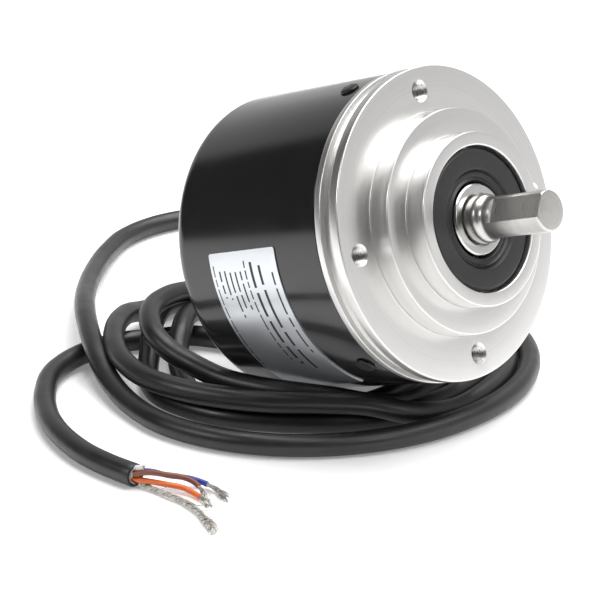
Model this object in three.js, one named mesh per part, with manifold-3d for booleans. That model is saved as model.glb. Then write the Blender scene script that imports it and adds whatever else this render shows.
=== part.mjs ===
// Incremental rotary encoder with a solid shaft, resting nose-up on its own cable.
// Millimetres, +Z up. The encoder is modelled along +X with its flange face at x = 0, then tilted.
// The floor is z = 0, and the origin is below the middle of the encoder's own box.
import * as THREE from "three";
import { mergeVertices } from "three/addons/utils/BufferGeometryUtils.js";
import Module from "manifold-3d";

const wasm = await Module();
wasm.setup();

// ---- Driving dimensions ----
const TILT = 18; // degrees the shaft points above the floor
const GAP = 0.3; // clearance kept between pieces that meet

const FLANGE = { r: 38.7, grooveR: 37.2, thick: 7.6, lip: 2.7, groove: 5.75 };
const BOSS = { bigR: 27.6, bigEnd: 5.6, smallR: 21.2, smallEnd: 11.2 };
const RECESS = { r: 17.8, floor: 6.6 };
const SPIGOT = { r: 36.4, innerR: 28.5, end: -17 };
const HUB = { r: 20.5, end: -33 };
const HOLES = { count: 4, circleR: 32.9, r: 2.45, depth: 13 };
const COVER = { r: 38.4, wall: 1.6, front: -7.9, rear: -58, fillet: 4, rearWall: 2.4 };
const SCREWS = { angles: [-16, -136, 104], x: -12.5, headR: 2.4, headH: 0.7, shankR: 1.4, shank: 5 };
const SHAFT = { r: 5, seatR: 6, rearR: 4, seatEnd: 14, tip: 32, seatBack: -34, rearEnd: -43 };
const FLAT = { start: 17, distance: 4, angle: -57 };
const BEARING = { outerR: 16, outerBore: 13.2, innerR: 8.6, width: 10, ballCircle: 10.9, ballR: 1.9, balls: 9 };
const FRONT_BEARING = { from: -4.2 };
const REAR_BEARING = { from: -29.5 };
const DISC = { r: 27, thick: 1, x: -37 };
const O_RING = { from: -10.3, to: -8.7, depth: 1.3, middle: -9.5, section: 0.65, sides: 6 };
const SEAL_RING = { inner: 9.2, outer: 17.4, back: 7, front: 10.3 };
const SLEEVE = { r: 8.8, back: 6.2, front: 9.9 };
const SPACER = { r: 8, back: -19.2, front: -4.5 };
const WASHER = { inner: 14.6, outer: 15.8, back: 6.15, front: 6.45 };
const CLIP = { inner: 13.6, outer: 15.9, back: -31, front: -30 };
const DISC_HUB = { r: 7.5, flangeR: 11, back: -40.5, front: -34.6, clampR: 10.5, clampBack: -40, discBore: 7.8 };
const SET_SCREW = { r: 1, length: 3.2, from: 4.2, holeR: 1.3, x: -39.4 };
const BOARD = { r: 34, bore: 7, thick: 1.6, x: -43.4 };
const POST = { circleR: 31.6, r: 2.2, angles: [30, 150, 270] };
const EXIT = { x: -46, angle: 90, holeR: 5.3 };
const LABEL = { from: -45.2, to: -22.2, startAngle: -82, endAngle: -151, thick: 0.2 };
const CABLE = { r: 2.85, steps: 79, sides: 8, coreR: 0.65, coreSteps: 12, coreSides: 6 };

// Middle line of the cable, laid on the floor in loose loops. The floor's stretches run at z = 3.
const CABLE_ROUTE = [
  // Down from the bend relief to the floor, and round the widest loop.
  [-26.7, 69.4, 39.1], [-26.8, 80, 38.5], [-29.1, 92, 35.3], [-37.1, 103, 29], [-50.1, 111, 21],
  [-66.1, 114.5, 13.4], [-83.1, 113, 7.8], [-100.1, 107, 4.3], [-116.1, 98, 3.1], [-130.1, 86, 3],
  [-140.1, 72, 3], [-144.6, 57, 3], [-143.1, 42, 3], [-136.1, 28, 3.3], [-125.1, 13, 4.6],
  [-112.1, -2, 6.5], [-98.1, -16, 8.6], [-84.6, -27.5, 9.3], [-71.1, -37, 7.4], [-58.1, -44, 4.4],
  [-45.1, -49, 3.1], [-31.1, -52, 3], [-17.1, -50.5, 3], [-4.1, -45, 3], [6.9, -36, 3], [15.4, -24, 3],
  [20.7, -10, 3], [22.4, 5, 3], [20.9, 20, 3], [15.9, 34, 3], [6.9, 47, 3], [-5.1, 57, 3],
  [-19.1, 63.5, 3], [-35.1, 66, 3], [-51.1, 63, 3], [-65.1, 55, 3], [-75.6, 43, 3], [-81.6, 28.5, 3.3],
  [-82.9, 14, 4.5],
  // Second loop, flat on the floor.
  [-81.6, 2, 7.5], [-76.3, -8.4, 9.4], [-70.1, -17.3, 8.8], [-63.6, -24.7, 5.2], [-55.6, -33, 3],
  [-44.6, -39.5, 3], [-33.1, -40.5, 3], [-22.6, -38.5, 3], [-13.1, -33.5, 3], [-4.6, -27, 3],
  [2.4, -19.5, 3], [8.2, -9.5, 3], [10.1, 3, 3], [9.4, 17, 3], [5.4, 30, 3.8], [-2.1, 41.5, 6.2],
  [-12.1, 51, 8.9], [-24.1, 58, 8.8], [-37.1, 61.5, 9], [-52.1, 59, 9.2], [-66.1, 51.5, 9.5],
  [-78.1, 40.5, 9.3], [-86.6, 27, 6.5], [-89.6, 12, 3.5], [-88.1, -3, 5.2],
  // Third loop, lying on the second one.
  [-83.6, -14, 8.2], [-77.1, -24, 9.3], [-67.6, -33.5, 9.2], [-56.1, -40.5, 9], [-44.1, -44, 9],
  [-32.1, -43.5, 9], [-21.1, -40, 9], [-11.1, -34.5, 9], [-2.1, -27, 9], [6.6, -18.6, 8.4],
  [14.2, -8.6, 5.2], [16.4, 4, 3], [15.1, 18, 3], [10.7, 31, 3], [2.4, 43.5, 3], [-9.1, 52, 3],
  [-22.1, 56.5, 3], [-36.1, 57.5, 3], [-50.1, 54.5, 3], [-62.1, 46.5, 3], [-70.6, 36, 3],
  [-75.1, 24.5, 3.2], [-76.1, 13, 4.8], [-72.4, 4.1, 8], [-67.8, -6.6, 9.6], [-62, -14.6, 8.7],
  // Fourth loop, on the floor inside the others.
  [-56.8, -20.9, 5.6], [-49.1, -27.1, 3.6], [-39.1, -33, 3], [-28.6, -33.5, 3], [-19.4, -30.4, 3],
  [-11.6, -24.9, 3], [-4.9, -17, 3], [-2.1, -8, 3], [-1.5, 2, 3], [-2.2, 12, 3], [-6.1, 21.5, 6.3],
  [-11.6, 31, 9.2], [-19.6, 40, 9.2], [-31.1, 47, 8.4], [-43.3, 49, 7], [-54.6, 45.6, 7.2],
  [-64.6, 38, 8.6], [-72.6, 28, 9.3], [-74.6, 15, 11], [-74.1, 2.1, 13.2], [-71.4, -9.7, 15.4],
  [-68.2, -18.5, 15.7], [-62, -26, 15.5], [-54.3, -31.2, 14.2],
  // Fifth loop, over the left side and down inside the fourth.
  [-47.2, -32.4, 12], [-39.4, -31.9, 10.2], [-29.6, -31.5, 9.1], [-19.7, -29.6, 9],
  [-10.8, -25.9, 8.9], [-2.9, -20.1, 8], [2.1, -11.4, 5.1], [4, -2, 3], [4, 9, 3], [0.9, 20.5, 3],
  [-7.5, 28.9, 3], [-19, 32, 3], [-30.3, 29.2, 3], [-38.4, 21.6, 3], [-44.6, 13, 3], [-51.9, 6, 3],
  [-60.3, 0.3, 3],
  // The free end, under the loops and out in front of them.
  [-69.1, -4.3, 3], [-74, -11.9, 3], [-78.6, -19.3, 3], [-80.5, -29.1, 3], [-79.3, -39.2, 3],
  [-75.6, -48.3, 3], [-68.9, -56.6, 3], [-60.1, -64.5, 3], [-51.1, -70.5, 3], [-41.1, -75, 3],
  [-31.1, -77.8, 3], [-22.1, -78.7, 3], [-13.6, -78.6, 3],
];

// Middle lines of the cores and the twisted screen past the cut end of the jacket.
const CORES = {
  conductor_blue: [
    [-13.2, -77.5, 3.8], [-9.9, -75.7, 3.9], [-6.4, -73.9, 3.4], [-3.1, -69.9, 2.3], [0.9, -68.1, 1.4],
    [5.1, -68.5, 0.9], [10.1, -70.6, 0.8],
  ],
  conductor_brown: [
    [-13.2, -79.9, 3.4], [-9.1, -77.6, 4.5], [-5.4, -75.5, 4.4], [-2.4, -72.6, 3.6], [-0.4, -71.2, 2.6],
    [1.7, -71.2, 1.6], [5.2, -72.6, 0.9],
  ],
  conductor_orange: [
    [-13.2, -79.4, 2.3], [-8.1, -77.5, 2.4], [-4.2, -76.1, 2.4], [-1.4, -73.7, 1.6], [1.7, -73.4, 1.1],
    [5.1, -74, 0.9], [9.4, -75.1, 0.8],
  ],
  conductor_white: [
    [-13.2, -78.7, 4.8], [-11.2, -78, 5.3], [-10.1, -77.4, 5.8],
  ],
  cable_screen: [
    [-13.2, -77.9, 1.8], [-11.5, -77.9, 1.2], [-8.9, -78.1, 1], [-5.7, -77.9, 1], [-1.3, -78, 1],
    [2.9, -77.9, 1], [8.3, -79.3, 1], [13.1, -81.2, 1], [17.1, -83.3, 1], [20.5, -85.2, 1],
  ],
};
const CORE_FINISH = {
  conductor_blue: { color: 0x2a3f96, roughness: 0.45, metalness: 0 },
  conductor_brown: { color: 0x9a5440, roughness: 0.45, metalness: 0 },
  conductor_orange: { color: 0xe8702a, roughness: 0.45, metalness: 0 },
  conductor_white: { color: 0xe4e4e2, roughness: 0.45, metalness: 0 },
  cable_screen: { color: 0xb3b1ac, roughness: 0.35, metalness: 1 },
};

const STEEL = { color: 0xb9bbbd, roughness: 0.3, metalness: 1 };
const ALUMINIUM = { color: 0xd4d4d2, roughness: 0.28, metalness: 1 };
const BLACK_PAINT = { color: 0x17181a, roughness: 0.3, metalness: 0.1 };
const BLACK_RUBBER = { color: 0x1c1c1d, roughness: 0.7, metalness: 0 };
const BLACK_PLASTIC = { color: 0x141415, roughness: 0.5, metalness: 0 };
const BRASS = { color: 0xb5935a, roughness: 0.35, metalness: 1 };
const GREEN_BOARD = { color: 0x1f5a33, roughness: 0.5, metalness: 0 };
const GLASS = { color: 0xc9d3d6, roughness: 0.05, metalness: 0 };
const LABEL_FOIL = { color: 0xc9ccd0, roughness: 0.4, metalness: 0.6 };

// ---- Geometry helpers ----
const degrees = (a) => (a * Math.PI) / 180;

function toSolid(geometry) {
  const bare = geometry.index ? geometry.clone() : mergeVertices(geometry, 1e-4);
  bare.deleteAttribute("normal");
  bare.deleteAttribute("uv");
  const merged = mergeVertices(bare, 1e-4);
  const index = merged.index.array;
  const faces = [];
  for (let i = 0; i < index.length; i += 3) {
    const [a, b, c] = [index[i], index[i + 1], index[i + 2]];
    if (a !== b && b !== c && a !== c) faces.push(a, b, c);
  }
  const vertProperties = new Float32Array(merged.attributes.position.array);
  const make = (list) =>
    new wasm.Manifold(new wasm.Mesh({ numProp: 3, vertProperties, triVerts: new Uint32Array(list) }));
  const solid = make(faces);
  return solid.volume() > 0 ? solid : make(faces.slice().reverse());
}

function toGeometry(solid) {
  const mesh = solid.getMesh();
  const positions = new Float32Array(mesh.numVert * 3);
  for (let i = 0; i < mesh.numVert; i++) {
    positions.set(mesh.vertProperties.subarray(i * mesh.numProp, i * mesh.numProp + 3), i * 3);
  }
  const geometry = new THREE.BufferGeometry();
  geometry.setAttribute("position", new THREE.BufferAttribute(positions, 3));
  geometry.setIndex(new THREE.BufferAttribute(mesh.triVerts, 1));
  geometry.computeVertexNormals();
  return geometry;
}

// A solid of revolution about +X from [radius, x] points.
function turned(profile, segments = 40) {
  const points = profile.map(([r, x]) => new THREE.Vector2(r, x));
  const onAxis = profile[0][0] === 0 && profile[profile.length - 1][0] === 0;
  if (!onAxis) points.push(points[0].clone());
  return toSolid(new THREE.LatheGeometry(points, segments).rotateZ(-Math.PI / 2));
}

// A ring about +X between two radii and two stations.
function ring(inner, outer, from, to, segments = 28) {
  return turned([[inner, from], [outer, from], [outer, to], [inner, to]], segments);
}

function disk(r, from, to, segments = 24) {
  return turned([[0, from], [r, from], [r, to], [0, to]], segments);
}

// A cylinder standing on z = 0 and reaching up to its height.
function peg(r, height, sides = 16) {
  return new THREE.CylinderGeometry(r, r, height, sides).rotateX(Math.PI / 2).translate(0, 0, height / 2);
}

// Turns geometry built along +Z so that it points outwards at an angle about the shaft, from up towards +Y.
function outwards(geometry, angle, radius, x) {
  return geometry.translate(0, 0, radius).rotateX(-degrees(angle)).translate(x, 0, 0);
}

const alongShaft = (angle, radius, x) =>
  new THREE.Vector3(x, radius * Math.sin(degrees(angle)), radius * Math.cos(degrees(angle)));

const encoder = new THREE.Group();
const cord = new THREE.Group();

function add(group, name, shape, finish) {
  const geometry = shape.isBufferGeometry ? shape : toGeometry(shape);
  const mesh = new THREE.Mesh(geometry, new THREE.MeshStandardMaterial(finish));
  mesh.name = name;
  group.add(mesh);
  return mesh;
}

// ---- Mounting flange with its two centring bosses, spigot and bearing hub ----
function flangeProfile() {
  const edge = 0.4;
  return [
    [BEARING.outerR + GAP, HUB.end],
    [HUB.r, HUB.end],
    [HUB.r, -FLANGE.thick - 2],
    [SPIGOT.innerR, -FLANGE.thick - 2],
    [SPIGOT.innerR, SPIGOT.end],
    [SPIGOT.r, SPIGOT.end],
    [SPIGOT.r, O_RING.from],
    [SPIGOT.r - O_RING.depth, O_RING.from],
    [SPIGOT.r - O_RING.depth, O_RING.to],
    [SPIGOT.r, O_RING.to],
    [SPIGOT.r, -FLANGE.thick],
    [FLANGE.r, -FLANGE.thick],
    [FLANGE.r, -FLANGE.groove],
    [FLANGE.grooveR, -FLANGE.groove],
    [FLANGE.grooveR, -FLANGE.lip],
    [FLANGE.r, -FLANGE.lip],
    [FLANGE.r, -edge],
    [FLANGE.r - edge, 0],
    [BOSS.bigR, 0],
    [BOSS.bigR, BOSS.bigEnd - edge],
    [BOSS.bigR - edge, BOSS.bigEnd],
    [BOSS.smallR, BOSS.bigEnd],
    [BOSS.smallR, BOSS.smallEnd - edge],
    [BOSS.smallR - edge, BOSS.smallEnd],
    [RECESS.r + 0.5, BOSS.smallEnd],
    [RECESS.r, BOSS.smallEnd - 0.5],
    [RECESS.r, RECESS.floor],
    [BEARING.outerR - 1.6, RECESS.floor],
    [BEARING.outerR - 1.6, FRONT_BEARING.from + BEARING.width + GAP + 0.5],
    [BEARING.outerR + GAP, FRONT_BEARING.from + BEARING.width + GAP + 0.5],
  ];
}

function mountingFlange() {
  let body = turned(flangeProfile(), 52);
  for (let i = 0; i < HOLES.count; i++) {
    const hole = peg(HOLES.r, HOLES.depth + 1).rotateY(-Math.PI / 2);
    const place = alongShaft(i * 90, HOLES.circleR, 1);
    body = body.subtract(toSolid(hole.translate(place.x, place.y, place.z)));
  }
  for (const angle of SCREWS.angles) {
    body = body.subtract(toSolid(outwards(peg(SCREWS.shankR + GAP, 9, 12), angle, SPIGOT.r - 6, SCREWS.x)));
  }
  return body;
}

// ---- Rear cover: a drawn can with a rounded rear edge ----
function rearCover() {
  const inner = COVER.r - COVER.wall;
  const profile = [[0, COVER.rear]];
  const arcSteps = 3;
  for (let i = 0; i <= arcSteps; i++) {
    const a = degrees((i * 90) / arcSteps);
    profile.push([
      COVER.r - COVER.fillet + COVER.fillet * Math.sin(a),
      COVER.rear + COVER.fillet - COVER.fillet * Math.cos(a),
    ]);
  }
  profile.push([COVER.r, COVER.front], [inner, COVER.front]);
  profile.push([inner, COVER.rear + COVER.rearWall + 1.5], [inner - 1.5, COVER.rear + COVER.rearWall]);
  profile.push([0, COVER.rear + COVER.rearWall]);
  let body = turned(profile, 48);
  for (const angle of SCREWS.angles) {
    body = body.subtract(toSolid(outwards(peg(SCREWS.shankR + GAP, 6, 12), angle, inner - 2, SCREWS.x)));
  }
  return body.subtract(toSolid(outwards(peg(EXIT.holeR, 6, 24), EXIT.angle, inner - 2, EXIT.x)));
}

// ---- Cross-recessed screw standing on z = 0 with its shank below ----
function crossScrew(headR, headH, shankR, shank) {
  const profile = [
    [0, -shank],
    [shankR, -shank],
    [shankR, 0],
    [headR, 0],
    [headR, headH * 0.55],
    [headR * 0.72, headH],
    [0, headH],
  ];
  const points = profile.map(([r, z]) => new THREE.Vector2(r, z));
  const blank = toSolid(new THREE.LatheGeometry(points, 12).rotateX(Math.PI / 2));
  const slot = (turn) =>
    toSolid(new THREE.BoxGeometry(headR * 1.15, headR * 0.28, headH).rotateZ(turn).translate(0, 0, headH * 0.9));
  return blank.subtract(slot(0).add(slot(Math.PI / 2)));
}

// ---- Shaft: bearing seat, drive end with a flat, and the stub that carries the disc hub ----
function driveShaft() {
  const body = turned([
    [0, SHAFT.rearEnd],
    [SHAFT.rearR, SHAFT.rearEnd],
    [SHAFT.rearR, SHAFT.seatBack],
    [SHAFT.seatR, SHAFT.seatBack],
    [SHAFT.seatR, SHAFT.seatEnd - 0.4],
    [SHAFT.seatR - 0.4, SHAFT.seatEnd],
    [SHAFT.r, SHAFT.seatEnd],
    [SHAFT.r, SHAFT.tip - 0.6],
    [SHAFT.r - 0.6, SHAFT.tip],
    [0, SHAFT.tip],
  ], 28);
  const depth = SHAFT.r - FLAT.distance + 1;
  const length = SHAFT.tip - FLAT.start + 1;
  const block = new THREE.BoxGeometry(length, 2 * SHAFT.r + 2, depth).translate(length / 2, 0, depth / 2);
  return body.subtract(toSolid(outwards(block, FLAT.angle, FLAT.distance, FLAT.start)));
}

// ---- Ball bearing: outer ring, inner ring, and the balls held in their cage ----
function ballCage(from) {
  const middle = from + BEARING.width / 2;
  let cage = ring(BEARING.ballCircle - 0.6, BEARING.ballCircle + 0.6, middle - 2.4, middle + 2.4, 18);
  for (let i = 0; i < BEARING.balls; i++) {
    const place = alongShaft((i * 360) / BEARING.balls, BEARING.ballCircle, middle);
    const ball = new THREE.IcosahedronGeometry(BEARING.ballR, 0).translate(place.x, place.y, place.z);
    cage = cage.add(toSolid(ball));
  }
  return cage;
}

function bearing(prefix, from) {
  const to = from + BEARING.width;
  add(encoder, `${prefix}_bearing_outer_ring`, ring(BEARING.outerBore, BEARING.outerR, from, to), STEEL);
  add(encoder, `${prefix}_bearing_inner_ring`, ring(SHAFT.seatR + GAP / 3, BEARING.innerR, from, to), STEEL);
  add(encoder, `${prefix}_ball_cage`, ballCage(from), BRASS);
}

// ---- Label: a thin foil sheet bent round the cover ----
function ratingLabel() {
  const inner = COVER.r + 0.1;
  const outer = inner + LABEL.thick;
  const shape = new THREE.Shape();
  const steps = 18;
  const at = (r, i) => {
    const a = degrees(LABEL.startAngle + ((LABEL.endAngle - LABEL.startAngle) * i) / steps);
    return [r * Math.sin(a), r * Math.cos(a)];
  };
  shape.moveTo(...at(inner, 0));
  for (let i = 1; i <= steps; i++) shape.lineTo(...at(inner, i));
  for (let i = steps; i >= 0; i--) shape.lineTo(...at(outer, i));
  const width = LABEL.to - LABEL.from;
  const sheet = new THREE.ExtrudeGeometry(shape, { depth: width, bevelEnabled: false });
  // The shape's own x and y become the encoder's y and z, and its depth runs along the shaft.
  const axes = new THREE.Matrix4().makeBasis(
    new THREE.Vector3(0, 1, 0),
    new THREE.Vector3(0, 0, 1),
    new THREE.Vector3(1, 0, 0),
  );
  return sheet.applyMatrix4(axes).translate(LABEL.from, 0, 0);
}

// ---- Housing pieces ----
add(encoder, "mounting_flange", mountingFlange(), ALUMINIUM);
add(encoder, "rear_cover", rearCover(), BLACK_PAINT);
add(encoder, "rating_label", toGeometry(toSolid(ratingLabel())), LABEL_FOIL);

SCREWS.angles.forEach((angle, i) => {
  const screw = crossScrew(SCREWS.headR, SCREWS.headH, SCREWS.shankR, SCREWS.shank);
  const mesh = add(encoder, `cover_screw_${i + 1}`, screw, BLACK_PAINT);
  mesh.position.copy(alongShaft(angle, COVER.r + 0.1, SCREWS.x));
  mesh.rotation.x = -degrees(angle);
});

const sealRing = [];
for (let i = 0; i < O_RING.sides; i++) {
  const a = degrees((i * 360) / O_RING.sides);
  const r = SPIGOT.r - 0.45 + O_RING.section * Math.cos(a);
  sealRing.push([r, O_RING.middle + O_RING.section * Math.sin(a)]);
}
add(encoder, "cover_sealing_ring", turned(sealRing, 32), BLACK_RUBBER);

add(encoder, "shaft_seal", turned([
  [SEAL_RING.inner, SEAL_RING.back],
  [SEAL_RING.outer, SEAL_RING.back],
  [SEAL_RING.outer, SEAL_RING.front - 0.7],
  [SEAL_RING.outer - 0.8, SEAL_RING.front],
  [SEAL_RING.inner + 3.2, SEAL_RING.front],
  [SEAL_RING.inner + 2.4, SEAL_RING.front - 0.5],
  [SEAL_RING.inner + 1.4, SEAL_RING.front - 0.5],
  [SEAL_RING.inner, SEAL_RING.front - 1.7],
]), BLACK_RUBBER);
add(encoder, "preload_washer", ring(WASHER.inner, WASHER.outer, WASHER.back, WASHER.front), STEEL);
bearing("front", FRONT_BEARING.from);
bearing("rear", REAR_BEARING.from);
add(encoder, "bearing_retaining_ring", ring(CLIP.inner, CLIP.outer, CLIP.back, CLIP.front), STEEL);

// ---- Turning pieces on the shaft ----
add(encoder, "drive_shaft", driveShaft(), STEEL);
add(encoder, "seal_sleeve", ring(SHAFT.seatR + GAP / 3, SLEEVE.r, SLEEVE.back, SLEEVE.front), STEEL);
add(encoder, "bearing_spacer", ring(SHAFT.seatR + GAP, SPACER.r, SPACER.back, SPACER.front), STEEL);
add(encoder, "disc_hub", turned([
  [SHAFT.rearR + GAP / 3, DISC_HUB.back],
  [DISC_HUB.r, DISC_HUB.back],
  [DISC_HUB.r, DISC.x + GAP],
  [DISC_HUB.flangeR, DISC.x + GAP],
  [DISC_HUB.flangeR, DISC_HUB.front],
  [SHAFT.rearR + GAP / 3, DISC_HUB.front],
], 24).subtract(toSolid(outwards(peg(SET_SCREW.holeR, 9, 10), 0, SHAFT.rearR - 1, SET_SCREW.x))), BRASS);
add(encoder, "code_disc", ring(DISC_HUB.discBore, DISC.r, DISC.x - DISC.thick, DISC.x, 40), GLASS);
const clampFront = DISC.x - DISC.thick - GAP;
const clampRing = ring(DISC_HUB.discBore, DISC_HUB.clampR, DISC_HUB.clampBack, clampFront);
add(encoder, "disc_clamp_ring", clampRing, STEEL);
const setScrew = add(encoder, "hub_set_screw", toSolid(peg(SET_SCREW.r, SET_SCREW.length, 10)), STEEL);
setScrew.position.copy(alongShaft(0, SET_SCREW.from, SET_SCREW.x));

// ---- Optical head and circuit board ----
const block = (length, width, height) => new THREE.BoxGeometry(length, width, height);
const OPTICS = { angle: 0, r: 22 };
const emitter = add(encoder, "light_source", block(8, 9, 7), BLACK_PLASTIC);
emitter.position.copy(alongShaft(OPTICS.angle, OPTICS.r + 2.4, -29.4));
const mask = add(encoder, "mask_plate", block(0.8, 12, 8), GLASS);
mask.position.copy(alongShaft(OPTICS.angle, OPTICS.r + 1.4, -34.4));
const sensor = add(encoder, "light_sensor", block(2.6, 8, 6), BLACK_PLASTIC);
sensor.position.copy(alongShaft(OPTICS.angle, OPTICS.r + 1, -40.2));

let board = ring(BOARD.bore, BOARD.r, BOARD.x, BOARD.x + BOARD.thick, 32);
for (const angle of POST.angles) {
  const place = alongShaft(angle, POST.circleR, BOARD.x - 1);
  const hole = peg(1.2, BOARD.thick + 2, 12).rotateY(Math.PI / 2);
  board = board.subtract(toSolid(hole.translate(place.x, place.y, place.z)));
}
add(encoder, "circuit_board", board, GREEN_BOARD);
POST.angles.forEach((angle, i) => {
  const length = SPIGOT.end - GAP - (BOARD.x + BOARD.thick + GAP);
  const post = disk(POST.r, 0, length, 6);
  const bore = disk(1.2, -1, 8, 12);
  const mesh = add(encoder, `board_standoff_${i + 1}`, post.subtract(bore), BRASS);
  mesh.position.copy(alongShaft(angle, POST.circleR, BOARD.x + BOARD.thick + GAP));
  const screw = crossScrew(2, 1.3, 0.9, 5);
  const screwMesh = add(encoder, `board_screw_${i + 1}`, screw, STEEL);
  screwMesh.position.copy(alongShaft(angle, POST.circleR, BOARD.x - GAP));
  screwMesh.rotation.y = -Math.PI / 2;
});

const chip = add(encoder, "line_driver_chip", block(2, 9, 6), BLACK_PLASTIC);
chip.position.set(BOARD.x - 1.3, -14, -12);
const capacitor = add(encoder, "capacitor", disk(3.2, -6.4, 0, 16), BLACK_PLASTIC);
capacitor.position.set(BOARD.x - GAP, -20, 8);
const terminal = add(encoder, "wire_terminal", block(6, 6, 14), BLACK_PLASTIC);
terminal.position.set(BOARD.x - 3.3, 14, 0);

const leadPath = new THREE.CatmullRomCurve3([
  new THREE.Vector3(-46.7, 17.4, 0),
  new THREE.Vector3(-47.5, 21, 0),
  new THREE.Vector3(-48, 26, 1),
  new THREE.Vector3(-47, 31, 1),
  new THREE.Vector3(EXIT.x - 0.5, 34, 0),
]);
const section = (r, sides) => {
  const shape = new THREE.Shape();
  for (let i = 0; i < sides; i++) {
    const a = (2 * Math.PI * i) / sides;
    shape[i ? "lineTo" : "moveTo"](r * Math.cos(a), r * Math.sin(a));
  }
  return shape;
};
const tube = (path, r, steps, sides = 8) =>
  new THREE.ExtrudeGeometry(section(r, sides), { steps, extrudePath: path, bevelEnabled: false });
add(encoder, "inner_leads", toSolid(tube(leadPath, 1.6, 8)), BLACK_PLASTIC);

// ---- Cable exit ----
// The gland passes through the cover wall; the bend relief is a ribbed rubber taper round the cable.
const glandBlank = new THREE.LatheGeometry([
  [0, 34.8],
  [4.6, 34.8],
  [4.9, COVER.r - COVER.wall - 0.3],
  [4.9, COVER.r + 0.3],
  [7.6, COVER.r + 0.3],
  [7.6, COVER.r + 5.4],
  [6.6, COVER.r + 6.4],
  [0, COVER.r + 6.4],
].map(([r, z]) => new THREE.Vector2(r, z)), 20).rotateX(Math.PI / 2);
const gland = add(encoder, "cable_gland", toSolid(glandBlank), BLACK_PLASTIC);
gland.rotation.x = -degrees(EXIT.angle);
gland.position.x = EXIT.x;

const reliefStart = COVER.r + 6.4 + GAP;
const RELIEF_LENGTH = 24;
const reliefProfile = [[0, 0]];
const ribs = 5;
for (let i = 0; i < ribs; i++) {
  const r = 5.6 - (1.7 * i) / ribs;
  const z = (RELIEF_LENGTH * i) / ribs;
  reliefProfile.push([r, z], [r, z + 3.2], [r - 0.7, z + 3.4], [r - 0.7, z + RELIEF_LENGTH / ribs - 0.2]);
}
reliefProfile.push([3.4, RELIEF_LENGTH], [0, RELIEF_LENGTH]);
const reliefPoints = reliefProfile.map(([r, z]) => new THREE.Vector2(r, z));
const relief = add(
  encoder,
  "bend_relief",
  toSolid(new THREE.LatheGeometry(reliefPoints, 12).rotateX(Math.PI / 2)),
  BLACK_RUBBER,
);
relief.rotation.x = -degrees(EXIT.angle);
relief.position.copy(alongShaft(EXIT.angle, reliefStart, EXIT.x));

// ---- Cable and its stripped end ----
const smooth = (points) => new THREE.CatmullRomCurve3(points.map((p) => new THREE.Vector3(...p)));
add(cord, "cable", toSolid(tube(smooth(CABLE_ROUTE), CABLE.r, CABLE.steps, CABLE.sides)), BLACK_RUBBER);
for (const [name, points] of Object.entries(CORES)) {
  const core = tube(smooth(points), CABLE.coreR, CABLE.coreSteps, CABLE.coreSides);
  add(cord, name, toSolid(core), CORE_FINISH[name]);
}

// ---- Tilt the encoder and stand it on the floor ----
const part = new THREE.Group();
part.add(encoder, cord);
encoder.rotation.y = -degrees(TILT);
encoder.updateMatrixWorld(true);
const CORD_PIECES = ["cable_gland", "bend_relief"];
const box = new THREE.Box3();
encoder.children.filter((mesh) => !CORD_PIECES.includes(mesh.name)).forEach((mesh) => {
  box.union(new THREE.Box3().setFromObject(mesh, true));
});
encoder.position.set(-(box.min.x + box.max.x) / 2, -(box.min.y + box.max.y) / 2, -box.min.z);
encoder.updateMatrixWorld(true);

export default part;
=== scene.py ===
"""Looks of a flange-mounted rotary encoder: machined flange, black cover, foil label, steel shaft, inner parts,
and a loose cable whose stripped end shows its cores. Blender works in metres; shapes are written in millimetres."""

import random
from math import cos, pi, radians, sin, sqrt

import bmesh
import bpy
from mathutils import Matrix, Vector


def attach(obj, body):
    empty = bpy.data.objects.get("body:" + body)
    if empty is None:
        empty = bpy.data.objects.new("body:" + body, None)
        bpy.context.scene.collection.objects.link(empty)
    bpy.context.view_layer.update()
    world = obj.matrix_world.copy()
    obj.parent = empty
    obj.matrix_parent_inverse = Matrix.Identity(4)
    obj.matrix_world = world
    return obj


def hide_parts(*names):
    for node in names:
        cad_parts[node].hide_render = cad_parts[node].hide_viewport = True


MM = 0.001
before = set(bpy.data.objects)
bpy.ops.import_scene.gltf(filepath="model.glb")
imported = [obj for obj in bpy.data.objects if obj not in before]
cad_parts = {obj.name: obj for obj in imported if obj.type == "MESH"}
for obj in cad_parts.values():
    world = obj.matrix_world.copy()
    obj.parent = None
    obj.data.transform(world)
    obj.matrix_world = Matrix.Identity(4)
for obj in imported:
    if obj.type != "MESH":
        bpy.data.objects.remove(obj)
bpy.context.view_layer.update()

# ---- Camera ----
CAMERA_AT = (0.3829, -0.4483, 0.2436)
camera = bpy.data.objects.new("camera", bpy.data.cameras.new("camera"))
camera.data.lens = 150
camera.data.sensor_width = 36
camera.location = CAMERA_AT
camera.rotation_euler = (radians(70), 0, radians(42.816))
bpy.context.collection.objects.link(camera)
bpy.context.scene.camera = camera

# ---- The encoder's own frame: x along the shaft from the flange face, z upwards before it is tilted ----
TILT = radians(18)
FLANGE_FACE = Vector((0.017053, 0, 0.053316))
TO_ROW = Matrix.Translation(FLANGE_FACE) @ Matrix.Rotation(-TILT, 4, "Y")

# ---- Mesh helpers ----
SHARP = radians(32)


def link(obj, matrix=None):
    bpy.context.collection.objects.link(obj)
    if matrix is not None:
        obj.matrix_world = matrix
    return obj


def smooth(mesh, angle=SHARP):
    mesh.polygons.foreach_set("use_smooth", [True] * len(mesh.polygons))
    mesh.set_sharp_from_angle(angle=angle)
    mesh.update()


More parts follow.
